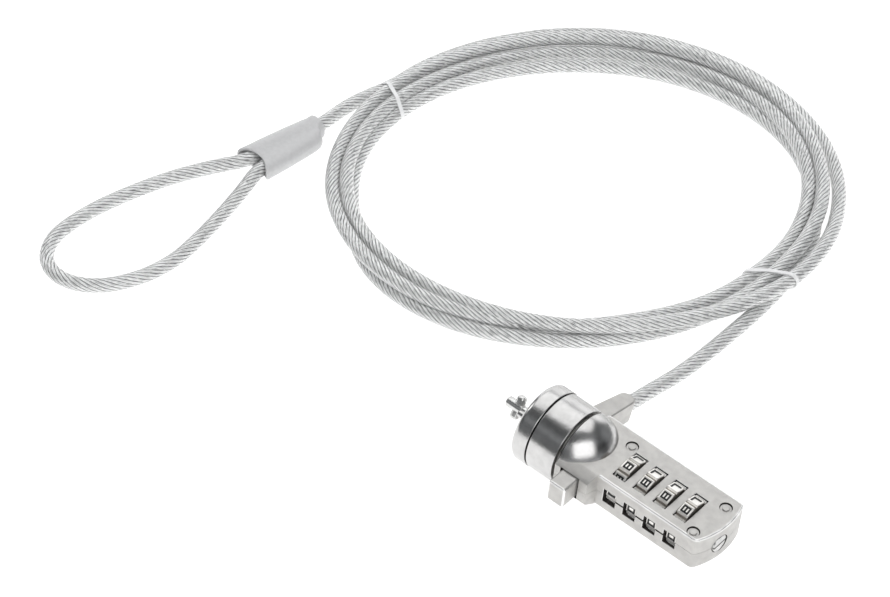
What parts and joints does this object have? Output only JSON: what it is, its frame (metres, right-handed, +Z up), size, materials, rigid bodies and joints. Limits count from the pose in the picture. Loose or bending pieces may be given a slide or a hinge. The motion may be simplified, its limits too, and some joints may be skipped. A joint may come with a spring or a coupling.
{
  "type": "laptop cable lock",
  "caption": "Combination lock head with number dials, push button and turning T-bar, on a coiled steel rope that swivels about the barrel and ends in a fixed loop.",
  "frame": {"origin": "on the resting surface, under the middle of the lock head (the box of the head without its rope)", "axes": "+X along the lock head from its T-bar towards the reset screw, +Y towards the cable lug, +Z up"},
  "size_m": [0.2091, 0.189, 0.0225],
  "materials": {
    "nickel": "satin nickel over die-cast zinc",
    "chrome": "polished",
    "steel": "plain steel",
    "brass": "turned",
    "dial_metal": "satin, bright panel edges",
    "rope": "clear glossy sheath over laid steel wire",
    "grey_plastic": "smooth matte",
    "clear_plastic": "translucent"
  },
  "bodies": {
    "cable_end": {"swivel_collar": "chrome", "lug_crimp": "steel", "cable_lead": "rope", "cable_coil": "rope", "cable_tail": "rope", "cable_loop": "rope", "ferrule_sleeve": "grey_plastic", "ferrule_crimp": "steel", "coil_tie_1": "clear_plastic", "coil_tie_2": "clear_plastic"},
    "lock_body": {"upper_shell": "nickel", "lower_shell": "nickel", "rivet_1": "nickel", "rivet_2": "nickel", "rivet_3": "nickel", "front_cap": "chrome", "barrel_hub": "steel", "wave_washer": "steel", "guide_pin_1": "steel", "guide_pin_2": "steel", "spindle": "steel", "spindle_spring": "steel", "detent_plate": "steel", "button_spring": "steel"},
    "push_button": {"push_button": "nickel"},
    "lock_bar": {"lock_bar": "chrome", "drive_pinion": "brass"},
    "reset_screw": {"reset_screw": "steel"},
    "dial_1": {"dial_1": "dial_metal", "dial_sleeve_1": "brass"},
    "dial_2": {"dial_2": "dial_metal", "dial_sleeve_2": "brass"},
    "dial_3": {"dial_3": "dial_metal", "dial_sleeve_3": "brass"},
    "dial_4": {"dial_4": "dial_metal", "dial_sleeve_4": "brass"}
  },
  "joints": [
    {"name": "body_swivel", "type": "hinge", "parent": "cable_end", "child": "lock_body", "pos_m": [-0.01096, -0.00479, 0.01049], "axis": [0.9946, 0, -0.1034], "continuous": true},
    {"name": "button_press", "type": "slide", "parent": "lock_body", "child": "push_button", "axis": [0, 1, 0], "range_m": [0, 0.0035], "stiffness_N_per_m": 800, "springref_m": -0.001, "deforming": ["button_spring"]},
    {"name": "lock_bar_turn", "type": "hinge", "parent": "lock_body", "child": "lock_bar", "pos_m": [-0.01096, -0.00479, 0.01049], "axis": [-0.9946, 0, 0.1034], "range_deg": [0, 90]},
    {"name": "reset_screw_turn", "type": "hinge", "parent": "lock_body", "child": "reset_screw", "pos_m": [0.03081, -0.00479, 0.00615], "axis": [0.9946, 0, -0.1034], "range_deg": [0, 90]},
    {"name": "dial_1_turn", "type": "hinge", "parent": "lock_body", "child": "dial_1", "pos_m": [0.00421, -0.00479, 0.00891], "axis": [0.9946, 0, -0.1034], "continuous": true},
    {"name": "dial_2_turn", "type": "hinge", "parent": "lock_body", "child": "dial_2", "pos_m": [0.01035, -0.00479, 0.00828], "axis": [0.9946, 0, -0.1034], "continuous": true},
    {"name": "dial_3_turn", "type": "hinge", "parent": "lock_body", "child": "dial_3", "pos_m": [0.0165, -0.00479, 0.00764], "axis": [0.9946, 0, -0.1034], "continuous": true},
    {"name": "dial_4_turn", "type": "hinge", "parent": "lock_body", "child": "dial_4", "pos_m": [0.02265, -0.00479, 0.007], "axis": [0.9946, 0, -0.1034], "continuous": true}
  ],
  "couplings": [
    {"joint": "lock_bar_turn", "follows": "button_press", "rad_per_m": 448.3}
  ]
}
